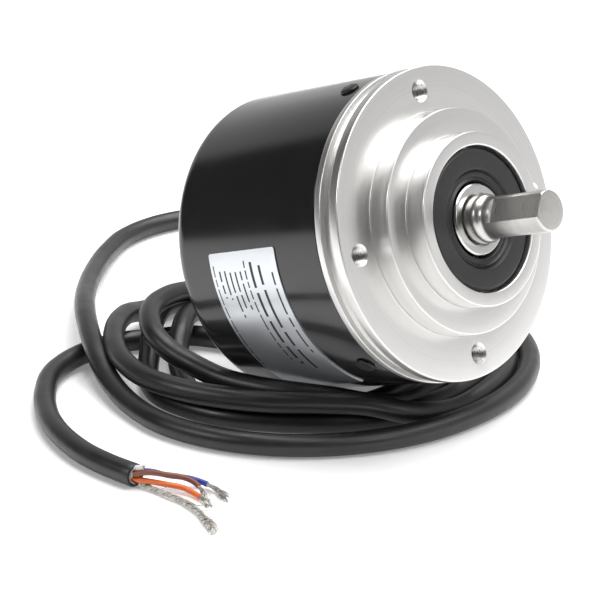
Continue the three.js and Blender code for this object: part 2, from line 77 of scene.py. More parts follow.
def mesh_object(name, verts, faces, matrix=TO_ROW, angle=SHARP):
    """A mesh from points in millimetres, closed and facing out, placed by matrix."""
    bm = bmesh.new()
    made = [bm.verts.new(Vector(v) * MM) for v in verts]
    for face in faces:
        bm.faces.new([made[i] for i in face])
    bmesh.ops.recalc_face_normals(bm, faces=bm.faces)
    mesh = bpy.data.meshes.new(name)
    bm.to_mesh(mesh)
    bm.free()
    smooth(mesh, angle)
    return link(bpy.data.objects.new(name, mesh), matrix)


def rounded(profile, steps=4):
    """Profile points (radius, station[, rounding]) with each rounding turned into a short arc."""
    out = []
    count = len(profile)
    for i, point in enumerate(profile):
        here = Vector(point[:2])
        rounding = point[2] if len(point) > 2 else 0
        if not rounding:
            out.append(here)
            continue
        back = (Vector(profile[i - 1][:2]) - here).normalized()
        ahead = (Vector(profile[(i + 1) % count][:2]) - here).normalized()
        start, end = here + back * rounding, here + ahead * rounding
        for k in range(steps + 1):
            t = k / steps
            out.append((1 - t) ** 2 * start + 2 * t * (1 - t) * here + t * t * end)
    return out


def lathe_data(profile, segments, along="X", steps=4):
    """Points and faces of a closed solid of revolution. along is the axis that the stations run on."""
    points = rounded(profile, steps)
    verts, rows = [], []
    for r, h in points:
        row = []
        for j in range(1 if r < 1e-6 else segments):
            a = 2 * pi * j / segments
            u, v = r * cos(a), r * sin(a)
            row.append(len(verts))
            verts.append((h, v, u) if along == "X" else (u, v, h))
        rows.append(row)
    faces = []
    on_axis = len(rows[0]) == 1 and len(rows[-1]) == 1
    for i in range(len(rows) - 1 if on_axis else len(rows)):
        a, b = rows[i], rows[(i + 1) % len(rows)]
        for j in range(segments):
            k = (j + 1) % segments
            quad = [a[j % len(a)], a[k % len(a)], b[k % len(b)], b[j % len(b)]]
            face = list(dict.fromkeys(quad))
            if len(face) > 2:
                faces.append(face)
    return verts, faces


def lathe(name, profile, segments=96, matrix=TO_ROW, along="X", steps=4):
    verts, faces = lathe_data(profile, segments, along, steps)
    return mesh_object(name, verts, faces, matrix)


def ring(name, inner, outer, start, end, segments=96, edge=0.2):
    profile = [(inner, start, edge), (outer, start, edge), (outer, end, edge), (inner, end, edge)]
    return lathe(name, profile, segments)


def outwards(angle, radius, x):
    """Where local +z points away from the shaft at an angle from up towards +y, at that radius and station."""
    a = radians(angle)
    place = Matrix.Translation(Vector((x, radius * sin(a), radius * cos(a))) * MM)
    return TO_ROW @ place @ Matrix.Rotation(-a, 4, "X")


def along_shaft(angle, radius, x):
    """Where local +z points forward along the shaft at that place."""
    a = radians(angle)
    place = Matrix.Translation(Vector((x, radius * sin(a), radius * cos(a))) * MM)
    return TO_ROW @ place @ Matrix.Rotation(pi / 2, 4, "Y")


def box_data(size, middle=(0, 0, 0), taper=1.0):
    """A box whose lower end is scaled by taper."""
    verts = []
    for z in (-1, 1):
        k = taper if z < 0 else 1
        for x, y in ((-1, -1), (1, -1), (1, 1), (-1, 1)):
            verts.append((middle[0] + x * k * size[0] / 2, middle[1] + y * k * size[1] / 2, middle[2] + z * size[2] / 2))
    return verts, [(0, 3, 2, 1), (4, 5, 6, 7), (0, 1, 5, 4), (1, 2, 6, 5), (2, 3, 7, 6), (3, 0, 4, 7)]


def bake(obj):
    """Applies every modifier of a mesh."""
    graph = bpy.context.evaluated_depsgraph_get()
    made = bpy.data.meshes.new_from_object(obj.evaluated_get(graph))
    obj.modifiers.clear()
    old, obj.data = obj.data, made
    bpy.data.meshes.remove(old)
    return obj


def boolean(obj, cutters, operation="DIFFERENCE"):
    bpy.context.view_layer.update()
    for cutter in cutters:
        step = obj.modifiers.new("cut", "BOOLEAN")
        step.object, step.operation, step.solver = cutter, operation, "EXACT"
    bake(obj)
    for cutter in cutters:
        bpy.data.objects.remove(cutter)
    smooth(obj.data)
    return obj


def bevelled(obj, width, segments=2):
    step = obj.modifiers.new("edge", "BEVEL")
    step.width, step.segments, step.limit_method, step.angle_limit = width * MM, segments, "ANGLE", radians(40)
    bake(obj)
    smooth(obj.data)
    return obj


def block(name, size, middle=(0, 0, 0), matrix=TO_ROW, edge=0.15):
    return bevelled(mesh_object(name, *box_data(size, middle), matrix), edge)


def joined(name, objs):
    """One mesh object made of several, keeping the first one's place and each one's materials."""
    first = objs[0]
    inverse = first.matrix_world.inverted()
    bm = bmesh.new()
    slots = []
    for obj in objs:
        index = {}
        for i, m in enumerate(obj.data.materials):
            if m not in slots:
                slots.append(m)
            index[i] = slots.index(m)
        copy = obj.data.copy()
        copy.transform(inverse @ obj.matrix_world)
        before = len(bm.faces)
        bm.from_mesh(copy)
        bm.faces.ensure_lookup_table()
        for face in bm.faces[before:]:
            face.material_index = index.get(face.material_index, 0)
        bpy.data.meshes.remove(copy)
    mesh = bpy.data.meshes.new(name)
    bm.to_mesh(mesh)
    bm.free()
    for m in slots:
        mesh.materials.append(m)
    smooth(mesh)
    matrix = first.matrix_world.copy()
    for obj in objs:
        bpy.data.objects.remove(obj)
    return link(bpy.data.objects.new(name, mesh), matrix)


def place(obj, material, slot, body="housing", stands_for=()):
    """Gives a piece its material, the body it rides on and the CAD nodes it stands for; the slot argument is not used.
    """
    if material is not None:
        obj.data.materials.clear()
        obj.data.materials.append(material)
    if stands_for:
        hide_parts(*([stands_for] if isinstance(stands_for, str) else stands_for))
    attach(obj, body)
    return obj


# ---- Material helpers ----
class Surface:
    """A Principled material with small helpers for its procedural detail."""

    def __init__(self, name, color, rough=0.5, metallic=0.0, **sockets):
        self.material = bpy.data.materials.new(name)
        self.material.use_nodes = True
        self.tree = self.material.node_tree
        self.shader = self.tree.nodes["Principled BSDF"]
        self.set("Base Color", (*color, 1))
        self.set("Roughness", rough)
        self.set("Metallic", metallic)
        for key, value in sockets.items():
            self.set(key.replace("_", " "), value)
        self.height = None

    def set(self, socket, value):
        self.shader.inputs[socket].default_value = value

    def add(self, kind, inputs=(), **settings):
        node = self.tree.nodes.new("ShaderNode" + kind)
        for key, value in settings.items():
            setattr(node, key, value)
        for key, value in dict(inputs).items():
            if isinstance(value, bpy.types.NodeSocket):
                self.tree.links.new(value, node.inputs[key])
            else:
                node.inputs[key].default_value = value
        return node

    def math(self, operation, a, b=0.0):
        return self.add("Math", {0: a, 1: b}, operation=operation).outputs[0]

    def object_xyz(self):
        return self.add("TexCoord").outputs["Object"]

    def turned_xyz(self, axis="X"):
        """(distance from the axis, station, 0), so that noise on it makes rings as a lathe does."""
        parts = self.add("SeparateXYZ", {0: self.object_xyz()}).outputs
        station = {"X": 0, "Z": 2}[axis]
        across = [i for i in range(3) if i != station]
        squares = [self.math("MULTIPLY", parts[i], parts[i]) for i in across]
        radius = self.math("SQRT", self.math("ADD", *squares))
        return self.add("CombineXYZ", {0: radius, 1: parts[station]}).outputs[0]

    def noise(self, vector, scale, detail=3.0, rough=0.55):
        return self.add("TexNoise", {"Vector": vector, "Scale": scale, "Detail": detail, "Roughness": rough}).outputs[0]

    def spread(self, value, low, high, start=0.3, end=0.7):
        return self.add("MapRange", {0: value, 1: start, 2: end, 3: low, 4: high}).outputs[0]

    def roughness(self, value, low, high):
        self.tree.links.new(self.spread(value, low, high), self.shader.inputs["Roughness"])
        return self

    def tint(self, value, first, second, start=0.35, end=0.65):
        ramp = self.add("ValToRGB", {0: value})
        ramp.color_ramp.elements[0].position, ramp.color_ramp.elements[1].position = start, end
        ramp.color_ramp.elements[0].color, ramp.color_ramp.elements[1].color = (*first, 1), (*second, 1)
        self.tree.links.new(ramp.outputs[0], self.shader.inputs["Base Color"])
        return self

    def bump(self, value, distance, strength=1.0):
        inputs = {"Height": value, "Distance": distance * MM, "Strength": strength}
        if self.height is not None:
            inputs["Normal"] = self.height
        self.height = self.add("Bump", inputs).outputs[0]
        self.tree.links.new(self.height, self.shader.inputs["Normal"])
        return self

    def brushed(self, amount, axis="X"):
        tangent = self.add("Tangent", direction_type="RADIAL", axis=axis).outputs[0]
        self.set("Anisotropic", amount)
        self.tree.links.new(tangent, self.shader.inputs["Tangent"])
        return self


def turned_metal(name, color, low, high, ring=0.012, aniso=0.0, axis="X"):
    """Lathe-turned or ground metal: fine rings in its height, gloss and tone."""
    s = Surface(name, color, low, 1.0)
    rings = s.turned_xyz(axis)
    fine = s.noise(rings, 2600, 2)
    broad = s.noise(rings, 420, 2)
    s.tint(broad, [c * 0.93 for c in color], color)
    s.roughness(fine, low, high)
    s.bump(fine, ring, 0.6)
    if aniso:
        s.brushed(aniso, axis)
    return s.material


def moulded(name, color, low, high, grain=700, depth=0.02, axis=None, **sockets):
    """Moulded plastic or rubber: a fine skin texture with slight tone changes."""
    s = Surface(name, color, low, 0.0, **sockets)
    xyz = s.object_xyz()
    soft, fine = s.noise(xyz, 60, 3), s.noise(xyz, grain, 4)
    s.tint(soft, [c * 0.85 for c in color], [min(1, c * 1.2) for c in color])
    s.roughness(fine, low, high)
    s.bump(fine, depth, 0.5)
    return s.material


ALUMINIUM = turned_metal("turned_aluminium", (0.78, 0.772, 0.758), 0.3, 0.38, 0.003, 0.2)
SHAFT_STEEL = turned_metal("ground_stainless", (0.62, 0.61, 0.59), 0.26, 0.36, 0.002, 0.15)
STEEL = turned_metal("bearing_steel", (0.62, 0.62, 0.61), 0.14, 0.26, 0.004)
SPOT_STEEL = turned_metal("zinc_plated_steel", (0.6, 0.6, 0.58), 0.22, 0.36, 0.006, axis="Z")
BRASS = turned_metal("turned_brass", (0.72, 0.56, 0.3), 0.2, 0.34, 0.008)
BLACK_SCREW = moulded("black_oxide", (0.018, 0.018, 0.019), 0.24, 0.4, 1500, 0.006, Metallic=0.4)
SEAL_RUBBER = moulded("seal_rubber", (0.016, 0.016, 0.017), 0.36, 0.52, 1200, 0.01)
GLAND_NYLON = moulded("gland_nylon", (0.02, 0.02, 0.021), 0.42, 0.58, 900, 0.02)
CHIP_PLASTIC = moulded("component_plastic", (0.024, 0.024, 0.026), 0.45, 0.62, 1600, 0.008)
TERMINAL_PLASTIC = moulded("terminal_plastic", (0.05, 0.12, 0.06), 0.4, 0.55, 900, 0.01)


def black_cover_material():
    s = Surface("gloss_black_cover", (0.011, 0.011, 0.012), 0.16, 0.0, Coat_Weight=0.5, Coat_Roughness=0.1)
    xyz = s.object_xyz()
    s.roughness(s.noise(xyz, 90, 4), 0.14, 0.24)
    s.bump(s.noise(xyz, 260, 2), 0.012, 0.35)
    s.bump(s.noise(s.turned_xyz(), 1500, 2), 0.004, 0.4)
    return s.material


def label_material():
    s = Surface("satin_foil", (0.72, 0.74, 0.77), 0.32, 0.9)
    xyz = s.object_xyz()
    s.tint(s.noise(xyz, 35, 3), (0.7, 0.72, 0.75), (0.76, 0.78, 0.81))
    s.roughness(s.noise(xyz, 300, 2), 0.29, 0.35)
    s.bump(s.noise(xyz, 140, 2), 0.008, 0.3)
    return s.material


def cable_material():
    s = Surface("pvc_sheath", (0.011, 0.011, 0.0115), 0.4, 0.0, Specular_IOR_Level=0.62)
    xyz = s.object_xyz()
    s.tint(s.noise(xyz, 25, 4), (0.01, 0.01, 0.0105), (0.02, 0.02, 0.0205))
    s.roughness(s.noise(xyz, 160, 4), 0.33, 0.46)
    s.bump(s.noise(xyz, 300, 3), 0.05, 0.35)
    s.bump(s.noise(xyz, 2200, 2), 0.01, 0.4)
    return s.material


def insulation(name, color):
    return moulded(name, color, 0.3, 0.42, 500, 0.02)


def strand_material():
    s = Surface("tinned_copper", (0.7, 0.68, 0.64), 0.34, 0.9)
    xyz = s.object_xyz()
    s.tint(s.noise(xyz, 900, 3), (0.5, 0.47, 0.41), (0.8, 0.79, 0.76))
    s.roughness(s.noise(xyz, 1500, 2), 0.26, 0.45)
    return s.material


def board_material():
    s = Surface("green_solder_mask", (0.03, 0.16, 0.07), 0.35, 0.0, Coat_Weight=0.3)
    xyz = s.object_xyz()
    tracks = s.add("TexBrick", {"Vector": xyz, "Scale": 260, "Mortar Size": 0.035}, offset=0.37).outputs["Fac"]
    s.tint(tracks, (0.02, 0.12, 0.05), (0.05, 0.24, 0.1))
    s.roughness(s.noise(xyz, 700, 3), 0.3, 0.42)
    s.bump(tracks, 0.02, 0.6)
    return s.material


def disc_material():
    """Clear glass with a fine ring of radial lines near its rim."""
    s = Surface("coded_glass", (0.82, 0.88, 0.9), 0.04, 0.0, IOR=1.5, Transmission_Weight=0.75)
    parts = s.add("SeparateXYZ", {0: s.object_xyz()}).outputs
    around = s.math("ARCTAN2", parts[1], parts[2])
    lines = s.math("GREATER_THAN", s.math("SINE", s.math("MULTIPLY", around, 250)), 0.0)
    squares = [s.math("MULTIPLY", parts[i], parts[i]) for i in (1, 2)]
    radius = s.math("SQRT", s.math("ADD", *squares))
    band = s.math("MULTIPLY", s.math("GREATER_THAN", radius, 20.5 * MM), s.math("LESS_THAN", radius, 24.5 * MM))
    s.tint(s.math("MULTIPLY", lines, band), (0.82, 0.88, 0.9), (0.03, 0.03, 0.035), 0.4, 0.6)
    s.roughness(s.noise(s.object_xyz(), 300, 2), 0.02, 0.07)
    return s.material


COVER_BLACK, LABEL_FOIL, PVC = black_cover_material(), label_material(), cable_material()
TINNED, BOARD_GREEN, CODED_GLASS = strand_material(), board_material(), disc_material()
PRINT_INK = moulded("label_print", (0.02, 0.02, 0.025), 0.4, 0.5, 900, 0.003)
FILLER_PAPER = moulded("filler_tape", (0.4, 0.38, 0.34), 0.7, 0.85, 900, 0.05)
CORE_COLORS = {
    "conductor_blue": (0.022, 0.045, 0.33),
    "conductor_brown": (0.21, 0.072, 0.045),
    "conductor_orange": (0.75, 0.16, 0.03),
    "conductor_white": (0.76, 0.76, 0.74),
}

# ---- Cable route: the same middle line as in the CAD, in millimetres in the row frame ----
CABLE_RADIUS = 2.85
ROUTE = [
    # Down from the bend relief to the floor, and round the widest loop.
    (-26.7, 69.4, 39.1), (-26.8, 80, 38.5), (-29.1, 92, 35.3), (-37.1, 103, 29), (-50.1, 111, 21),
    (-66.1, 114.5, 13.4), (-83.1, 113, 7.8), (-100.1, 107, 4.3), (-116.1, 98, 3.1), (-130.1, 86, 3),
    (-140.1, 72, 3), (-144.6, 57, 3), (-143.1, 42, 3), (-136.1, 28, 3.3), (-125.1, 13, 4.6),
    (-112.1, -2, 6.5), (-98.1, -16, 8.6), (-84.6, -27.5, 9.3), (-71.1, -37, 7.4), (-58.1, -44, 4.4),
    (-45.1, -49, 3.1), (-31.1, -52, 3), (-17.1, -50.5, 3), (-4.1, -45, 3), (6.9, -36, 3), (15.4, -24, 3),
    (20.7, -10, 3), (22.4, 5, 3), (20.9, 20, 3), (15.9, 34, 3), (6.9, 47, 3), (-5.1, 57, 3),
    (-19.1, 63.5, 3), (-35.1, 66, 3), (-51.1, 63, 3), (-65.1, 55, 3), (-75.6, 43, 3), (-81.6, 28.5, 3.3),
    (-82.9, 14, 4.5),
    # Second loop, flat on the floor.
    (-81.6, 2, 7.5), (-76.3, -8.4, 9.4), (-70.1, -17.3, 8.8), (-63.6, -24.7, 5.2), (-55.6, -33, 3),
    (-44.6, -39.5, 3), (-33.1, -40.5, 3), (-22.6, -38.5, 3), (-13.1, -33.5, 3), (-4.6, -27, 3),
    (2.4, -19.5, 3), (8.2, -9.5, 3), (10.1, 3, 3), (9.4, 17, 3), (5.4, 30, 3.8), (-2.1, 41.5, 6.2),
    (-12.1, 51, 8.9), (-24.1, 58, 8.8), (-37.1, 61.5, 9), (-52.1, 59, 9.2), (-66.1, 51.5, 9.5),
    (-78.1, 40.5, 9.3), (-86.6, 27, 6.5), (-89.6, 12, 3.5), (-88.1, -3, 5.2),
    # Third loop, lying on the second one.
    (-83.6, -14, 8.2), (-77.1, -24, 9.3), (-67.6, -33.5, 9.2), (-56.1, -40.5, 9), (-44.1, -44, 9),
    (-32.1, -43.5, 9), (-21.1, -40, 9), (-11.1, -34.5, 9), (-2.1, -27, 9), (6.6, -18.6, 8.4),
    (14.2, -8.6, 5.2), (16.4, 4, 3), (15.1, 18, 3), (10.7, 31, 3), (2.4, 43.5, 3), (-9.1, 52, 3),
    (-22.1, 56.5, 3), (-36.1, 57.5, 3), (-50.1, 54.5, 3), (-62.1, 46.5, 3), (-70.6, 36, 3),
    (-75.1, 24.5, 3.2), (-76.1, 13, 4.8), (-72.4, 4.1, 8), (-67.8, -6.6, 9.6), (-62, -14.6, 8.7),
    # Fourth loop, on the floor inside the others.
    (-56.8, -20.9, 5.6), (-49.1, -27.1, 3.6), (-39.1, -33, 3), (-28.6, -33.5, 3), (-19.4, -30.4, 3),
    (-11.6, -24.9, 3), (-4.9, -17, 3), (-2.1, -8, 3), (-1.5, 2, 3), (-2.2, 12, 3), (-6.1, 21.5, 6.3),
    (-11.6, 31, 9.2), (-19.6, 40, 9.2), (-31.1, 47, 8.4), (-43.3, 49, 7), (-54.6, 45.6, 7.2),
    (-64.6, 38, 8.6), (-72.6, 28, 9.3), (-74.6, 15, 11), (-74.1, 2.1, 13.2), (-71.4, -9.7, 15.4),
    (-68.2, -18.5, 15.7), (-62, -26, 15.5), (-54.3, -31.2, 14.2),
    # Fifth loop, over the left side and down inside the fourth.
    (-47.2, -32.4, 12), (-39.4, -31.9, 10.2), (-29.6, -31.5, 9.1), (-19.7, -29.6, 9),
    (-10.8, -25.9, 8.9), (-2.9, -20.1, 8), (2.1, -11.4, 5.1), (4, -2, 3), (4, 9, 3), (0.9, 20.5, 3),
    (-7.5, 28.9, 3), (-19, 32, 3), (-30.3, 29.2, 3), (-38.4, 21.6, 3), (-44.6, 13, 3), (-51.9, 6, 3),
    (-60.3, 0.3, 3),
    # The free end, under the loops and out in front of them.
    (-69.1, -4.3, 3), (-74, -11.9, 3), (-78.6, -19.3, 3), (-80.5, -29.1, 3), (-79.3, -39.2, 3),
    (-75.6, -48.3, 3), (-68.9, -56.6, 3), (-60.1, -64.5, 3), (-51.1, -70.5, 3), (-41.1, -75, 3),
    (-31.1, -77.8, 3), (-22.1, -78.7, 3), (-13.6, -78.6, 3),
]
CORES = {
    "conductor_blue": [
        (-13.2, -77.5, 3.8), (-9.9, -75.7, 3.9), (-6.4, -73.9, 3.4), (-3.1, -69.9, 2.3), (0.9, -68.1, 1.4),
        (5.1, -68.5, 0.9), (10.1, -70.6, 0.8),
    ],
    "conductor_brown": [
        (-13.2, -79.9, 3.4), (-9.1, -77.6, 4.5), (-5.4, -75.5, 4.4), (-2.4, -72.6, 3.6),
        (-0.4, -71.2, 2.6), (1.7, -71.2, 1.6), (5.2, -72.6, 0.9),
    ],
    "conductor_orange": [
        (-13.2, -79.4, 2.3), (-8.1, -77.5, 2.4), (-4.2, -76.1, 2.4), (-1.4, -73.7, 1.6), (1.7, -73.4, 1.1),
        (5.1, -74, 0.9), (9.4, -75.1, 0.8),
    ],
    "conductor_white": [
        (-13.2, -78.7, 4.8), (-11.2, -78, 5.3), (-10.1, -77.4, 5.8),
    ],
    "cable_screen": [
        (-13.2, -77.9, 1.8), (-11.5, -77.9, 1.2), (-8.9, -78.1, 1), (-5.7, -77.9, 1), (-1.3, -78, 1),
        (2.9, -77.9, 1), (8.3, -79.3, 1), (13.1, -81.2, 1), (17.1, -83.3, 1), (20.5, -85.2, 1),
    ],
}


def curved(points, per_span):
    """A centripetal Catmull-Rom curve through the points, the same kind as the CAD sweeps along."""
    pts = [Vector(p) for p in points]
    pts = [2 * pts[0] - pts[1], *pts, 2 * pts[-1] - pts[-2]]
    out = []
    for a, b, c, d in zip(pts, pts[1:], pts[2:], pts[3:]):
        steps = [sqrt((q - p).length) for p, q in ((a, b), (b, c), (c, d))]
        t0, t1, t2 = steps
        m1 = ((b - a) / t0 - (c - a) / (t0 + t1) + (c - b) / t1) * t1
        m2 = ((c - b) / t1 - (d - b) / (t1 + t2) + (d - c) / t2) * t1
        for k in range(per_span):
            t = k / per_span
            out.append(
                (2 * t**3 - 3 * t**2 + 1) * b + (t**3 - 2 * t**2 + t) * m1
                + (-2 * t**3 + 3 * t**2) * c + (t**3 - t**2) * m2
            )
    return [*out, pts[-2]]


def tube(name, lines, radius, material, resolution=6, caps=True):
    """A curve object of one or several tubes. A line's points may carry a fourth number, a share of the radius."""
    data = bpy.data.curves.new(name, "CURVE")
    data.dimensions, data.bevel_depth, data.bevel_resolution = "3D", radius * MM, resolution
    data.use_fill_caps = caps
    for line in lines:
        spline = data.splines.new("POLY")
        spline.points.add(len(line) - 1)
        for point, p in zip(spline.points, line):
            point.co = (*(Vector(p[:3]) * MM), 1)
            point.radius = p[3] if len(p) > 3 else 1
        spline.use_smooth = True
    data.materials.append(material)
    return link(bpy.data.objects.new(name, data))


route = curved(ROUTE, 9)
LIP_LENGTH = 1.2
end = route[-1]
while (route[-1] - end).length < LIP_LENGTH:
    route.pop()
route.append(end + (route[-1] - end).normalized() * LIP_LENGTH)
cable = tube("cable_jacket", [route], CABLE_RADIUS, PVC, 8)
place(cable, None, "cable_jacket", "housing", "cable")

# The cut end of the jacket: a short hollow lip with the filler tape's edge and the cores coming out of it.
heading = (Vector(ROUTE[-1]) - Vector(ROUTE[-2])).normalized()
lip_frame = Matrix.Translation(end * MM) @ heading.to_track_quat("Z", "Y").to_matrix().to_4x4()
lip = lathe("cable_jacket_lip", [
    (2.1, -LIP_LENGTH), (CABLE_RADIUS, -LIP_LENGTH), (CABLE_RADIUS, 0.8), (2.75, 1.1, 0.1), (2.15, 1.0, 0.1),
], 48, lip_frame, "Z")
place(lip, PVC, "cable_jacket")


def wavy_tape():
    """The filler's torn edge, a thin bent strip just inside the lip."""
    verts, faces = [], []
    rng = random.Random(4)
    turns = 30
    for i in range(turns + 1):
        a = radians(95 + 215 * i / turns)
        top = 1.5 + 0.35 * sin(a * 5) + 0.2 * rng.random()
        for r, z in ((1.82, -1), (2.0, -1), (2.0, top), (1.85, top)):
            verts.append((r * cos(a), r * sin(a), z))
    for i in range(turns):
        for k in range(4):
            faces.append((4 * i + k, 4 * i + (k + 1) % 4, 4 * i + 4 + (k + 1) % 4, 4 * i + 4 + k))
    faces += [(0, 1, 2, 3), tuple(4 * turns + k for k in (3, 2, 1, 0))]
    return mesh_object("filler_tape_edge", verts, faces, lip_frame)


tape = wavy_tape()
place(tape, FILLER_PAPER, "core_white")

cord_pieces = [lip, tape]


def around(path, i):
    """Two directions square to a path at one of its points."""
    tangent = (path[min(i + 1, len(path) - 1)] - path[max(i - 1, 0)]).normalized()
    side = tangent.cross(Vector((0, 0, 1))).normalized()
    return side, side.cross(tangent)


def frayed(name, path, count, spread, seed):
    """A core's bare strands: together where they leave the insulation, then opening out and curling to the floor."""
    rng = random.Random(seed)
    lines = []
    for k in range(count):
        a, twist = 2 * pi * k / count + rng.uniform(-0.3, 0.3), rng.uniform(0.6, 2.2)
        base, fan = 0.45 * sqrt(rng.uniform(0.05, 1)), spread * rng.uniform(0.15, 1)
        wave, phase = rng.uniform(0.05, 0.22), rng.uniform(0, 2 * pi)
        stop = max(4, int(len(path) * rng.uniform(0.72, 1)))
        line = []
        for i in range(stop):
            t = i / (len(path) - 1)
            side, up = around(path, i)
            b = a + twist * t * 2
            off = base + fan * t * t
            p = path[i] + (side * cos(b) + up * sin(b)) * off + side * wave * sin(6 * t + phase)
            p.z = max(p.z, STRAND_RADIUS + 0.05 * (k % 5))
            line.append(p)
        lines.append(line)
    return tube(name, lines, STRAND_RADIUS, TINNED, 1)


STRAND_RADIUS = 0.085
# For each core: the share of its path that is insulated, how many strands, how far they open out, the seed.
FRAY = {
    "conductor_blue": (0.68, 26, 1.5, 11),
    "conductor_brown": (0.8, 22, 1.2, 12),
    "conductor_orange": (0.8, 24, 1.3, 13),
    "conductor_white": (0.72, 8, 0.3, 14),
}
for name, color in CORE_COLORS.items():
    line = curved(CORES[name], 10)
    share, count, spread, seed = FRAY[name]
    cut = int(share * len(line))
    core = tube(name + "_insulation", [line[:cut]], 0.68, insulation(name + "_pvc", color), 4)
    place(core, None, "core_" + name.split("_")[1], "housing", name)
    strands = frayed(name + "_strands", line[cut - 2:], count, spread, seed)
    place(strands, None, "tinned_copper")
    cord_pieces += [core, strands]


def pigtail(name, points, bundles=4, each=12, turns=6.0, seed=21):
    """The cable's screen, combed out and twisted into one loose rope with a frayed tip."""
    rng = random.Random(seed)
    path = curved(points, 9)
    lines = []
    for b in range(bundles):
        for k in range(each):
            own = rng.uniform(0, 2 * pi)
            drift, size = rng.uniform(-0.5, 0.5), sqrt(rng.uniform(0.05, 1))
            line = []
            stop = len(path) - rng.randint(1, 14)
            for i, p in enumerate(path[:stop]):
                t = i / (len(path) - 1)
                side, up = around(path, i)
                loose = 1 + 0.2 * sin(9 * t + b) + 2.8 * max(0, t - 0.68)
                a = 2 * pi * (turns * t + b / bundles)
                c = own + 5 * a / bundles + drift * t
                bundle = (side * cos(a) + up * sin(a)) * 0.4 * loose
                q = p + bundle + (side * cos(c) + up * sin(c)) * 0.34 * size * loose
                q.z = max(q.z, 0.12)
                line.append(q)
            lines.append(line)
    for k in range(22):
        i = rng.randint(20, len(path) - 4)
        p, a = path[i], rng.uniform(0, 2 * pi)
        forward = (path[-1] - path[i - 6]).normalized()
        side = forward.cross(Vector((0, 0, 1))).normalized()
        reach = rng.uniform(1.2, 3.2)
        lines.append([
            p + (forward + side * 0.8 * cos(a) * t + Vector((0, 0, 0.5 * abs(sin(a)) * t))) * reach * t
            + Vector((0, 0, 0.2))
            for t in (0, 0.25, 0.5, 0.75, 1)
        ])
    return tube(name, lines, STRAND_RADIUS, TINNED, 1)


screen = pigtail("cable_screen_pigtail", CORES["cable_screen"])
place(screen, None, "tinned_copper", "housing", "cable_screen")
cord_pieces.append(screen)


# ---- Mounting flange: turned profile, four tapped holes, three holes for the cover screws ----
def helical_cutter(radius, pitch, start, end, turn_points=40, rows_per_turn=6):
    """A drill-and-tap shape along local z: a rod whose side follows a V thread, with a countersink at the top."""
    verts, faces = [], []
    rows = int((end - start) / pitch * rows_per_turn)
    for i in range(rows + 1):
        z = start + (end - start) * i / rows
        for j in range(turn_points):
            a = 2 * pi * j / turn_points
            phase = (z / pitch - a / (2 * pi)) % 1
            depth = abs(2 * phase - 1)
            r = radius - 0.42 * depth
            r = max(r, radius + 0.25 + z)
            verts.append((r * cos(a), r * sin(a), z))
    for i in range(rows):
        for j in range(turn_points):
            k = (j + 1) % turn_points
            row, above = i * turn_points, (i + 1) * turn_points
            faces.append((row + j, row + k, above + k, above + j))
    faces.append(tuple(range(turn_points)))
    faces.append(tuple(rows * turn_points + j for j in range(turn_points)))
    return verts, faces


HOLE_CIRCLE, HOLE_RADIUS, HOLE_DEPTH, THREAD_PITCH = 32.9, 2.5, 13, 0.8
SCREW_ANGLES = (-16, -136, 104)
COVER_RADIUS, SCREW_X, SCREW_CLEARANCE = 38.4, -12.5, 1.8
EXIT_ANGLE, EXIT_X, EXIT_HOLE = 90, -46, 5.3


def cylinder_cutter(radius, start, end, matrix, segments=32):
    return lathe("cutter", [(0, start), (radius, start), (radius, end), (0, end)], segments, matrix, "Z")


flange = lathe("mounting_flange_turned", [
    (16.3, -33, 0.3), (20.5, -33, 0.5), (20.5, -9.6, 0.6), (28.5, -9.6, 0.8), (28.5, -17, 0.4), (36.4, -17, 0.5),
    (36.4, -10.3, 0.1), (35.1, -10.3, 0.1), (35.1, -8.7, 0.1), (36.4, -8.7, 0.1), (36.4, -7.6, 0.1),
    (38.7, -7.6, 0.3), (38.7, -5.75, 0.2), (37.2, -5.75, 0.15), (37.2, -2.7, 0.15), (38.7, -2.7, 0.2),
    (38.7, 0, 0.45), (27.95, 0, 0.1), (27.8, -0.22), (27.6, -0.1, 0.05), (27.6, 5.6, 0.4), (21.55, 5.6, 0.1),
    (21.4, 5.38), (21.2, 5.5, 0.05), (21.2, 11.2, 0.4), (17.8, 11.2, 0.5),
    (17.8, 6.6, 0.1), (14.4, 6.6, 0.1), (14.4, 6.3), (16.3, 6.3),
], 256)
cutters = [
    mesh_object("cutter", *helical_cutter(HOLE_RADIUS, THREAD_PITCH, -HOLE_DEPTH, 0.4),
                along_shaft(i * 90, HOLE_CIRCLE, 0))
    for i in range(4)
]
cutters += [cylinder_cutter(SCREW_CLEARANCE, 30, 40, outwards(a, 0, SCREW_X)) for a in SCREW_ANGLES]
place(boolean(flange, cutters), ALUMINIUM, "aluminium", "housing", "mounting_flange")

# ---- Rear cover ----
cover = lathe("rear_cover_can", [
    (0, -58), (38.4, -58, 4), (38.4, -7.9, 0.25), (36.8, -7.9, 0.2), (36.8, -55.6, 1.5), (0, -55.6),
], 256, steps=9)
cutters = [cylinder_cutter(SCREW_CLEARANCE, 30, 40, outwards(a, 0, SCREW_X)) for a in SCREW_ANGLES]
cutters.append(cylinder_cutter(EXIT_HOLE, 30, 42, outwards(EXIT_ANGLE, 0, EXIT_X), 48))
place(boolean(cover, cutters), COVER_BLACK, "black_paint", "housing", "rear_cover")


def cross_cutter(width, reach, depth, top):
    """The two tapered wings of a cross recess, as separate cutters' data."""
    sizes = (reach, width, depth), (width, reach, depth)
    return [box_data(size, (0, 0, top - depth / 2), 0.55) for size in sizes]


